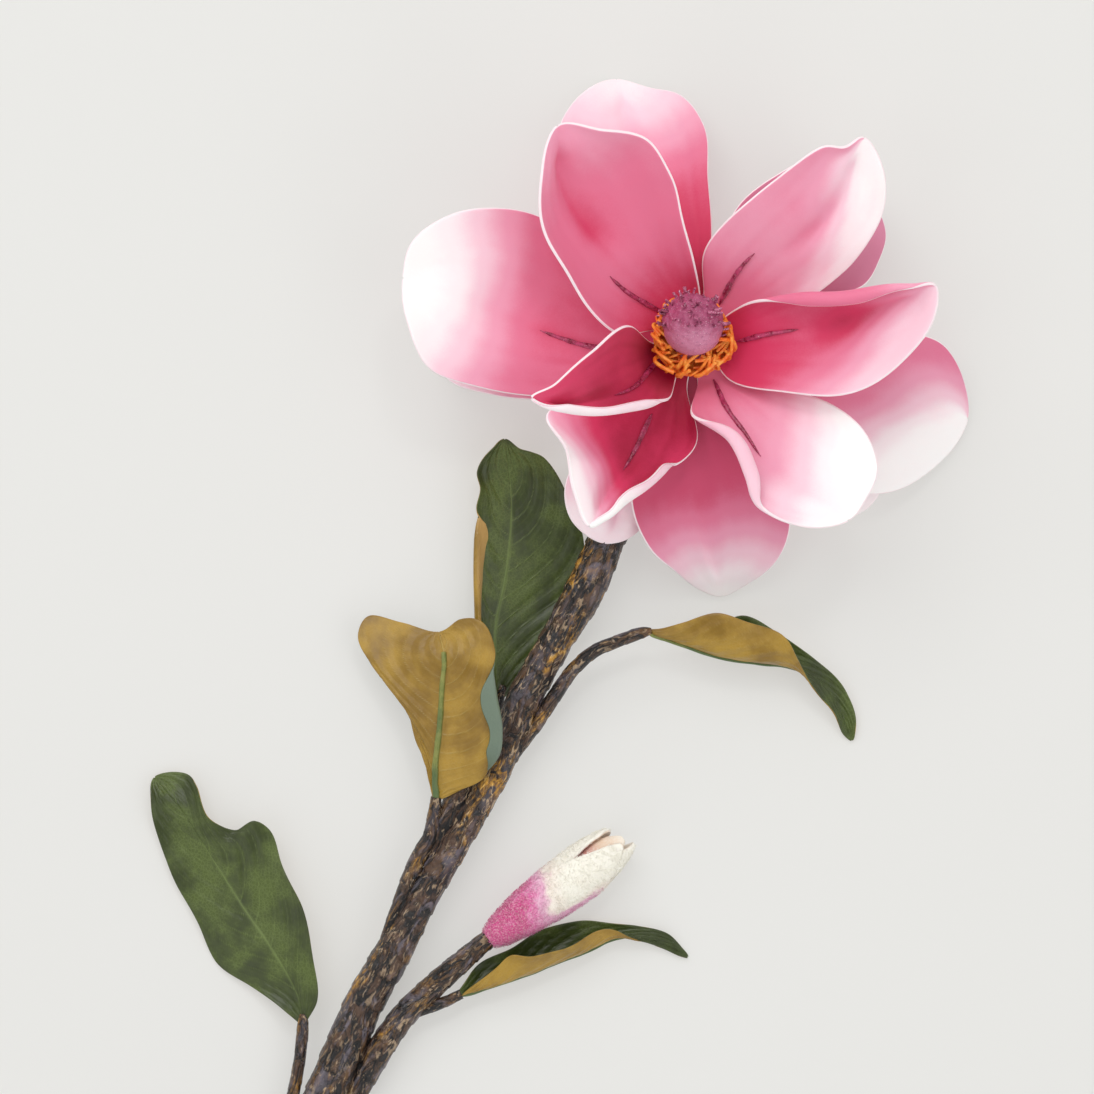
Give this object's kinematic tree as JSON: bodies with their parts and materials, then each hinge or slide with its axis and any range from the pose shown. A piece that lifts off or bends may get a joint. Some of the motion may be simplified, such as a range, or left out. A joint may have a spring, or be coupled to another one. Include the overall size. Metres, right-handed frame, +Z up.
{
  "type": "artificial saucer magnolia branch",
  "caption": "Cut magnolia branch lying down: an open pink flower with cupped petals, seed cone and stamens on a wrapped woody stem, with leaves on twigs and a closed bud.",
  "frame": {"origin": "middle of the underside of the whole branch as it lies on a surface", "axes": "+Z up, away from the surface; +Y along the branch towards the flower; +X to the right of the stem, the side of the bud"},
  "size_m": [0.2634, 0.3892, 0.0922],
  "materials": {
    "petal_foam": "soft matte foam, airbrushed deep rose at the base and white at the edge",
    "petal_rib": "wine red raised line with fine glitter",
    "receptacle": "matte",
    "stamens": "satin orange",
    "seed_cone": "mauve flock with glitter and small dark spines",
    "leaf_cloth": "printed dark green above, ochre below, slight sheen",
    "leaf_wire": "satin green",
    "stem_wrap": "wrinkled glossy brown film with ochre patches",
    "bud_flock": "short flock, magenta-pink below and cream above"
  },
  "bodies": {
    "root": {"inner_petal_upper_left": "petal_foam", "inner_petal_right": "petal_foam", "inner_petal_lower_left": "petal_foam", "middle_petal_left": "petal_foam", "middle_petal_upper_right": "petal_foam", "middle_petal_lower_right": "petal_foam", "middle_petal_bottom_left": "petal_foam", "outer_petal_top": "petal_foam", "outer_petal_upper_right": "petal_foam", "outer_petal_right": "petal_foam", "outer_petal_bottom": "petal_foam", "outer_petal_left": "petal_foam", "under_petal_lower_right": "petal_foam", "under_petal_bottom_left": "petal_foam", "inner_rib_upper_left": "petal_rib", "inner_rib_right": "petal_rib", "inner_rib_lower_left": "petal_rib", "middle_rib_left": "petal_rib", "middle_rib_upper_right": "petal_rib", "middle_rib_lower_right": "petal_rib", "middle_rib_bottom_left": "petal_rib", "receptacle": "receptacle", "stamen_whorl": "stamens", "seed_cone": "seed_cone", "leaf_right": "leaf_cloth", "leaf_upper": "leaf_cloth", "leaf_front": "leaf_cloth", "leaf_lower_left": "leaf_cloth", "leaf_under_bud": "leaf_cloth", "leaf_right_midrib": "leaf_wire", "leaf_upper_midrib": "leaf_wire", "leaf_front_midrib": "leaf_wire", "leaf_lower_left_midrib": "leaf_wire", "leaf_under_bud_midrib": "leaf_wire", "main_stem": "stem_wrap", "bud_branch": "stem_wrap", "twig_right": "stem_wrap", "twig_upper": "stem_wrap", "twig_front": "stem_wrap", "twig_lower_left": "stem_wrap", "twig_under_bud": "stem_wrap", "bud_outer_petal_near": "bud_flock", "bud_outer_petal_far": "bud_flock", "bud_inner_petal_upper": "bud_flock", "bud_inner_petal_lower": "bud_flock"}
  },
  "joints": []
}
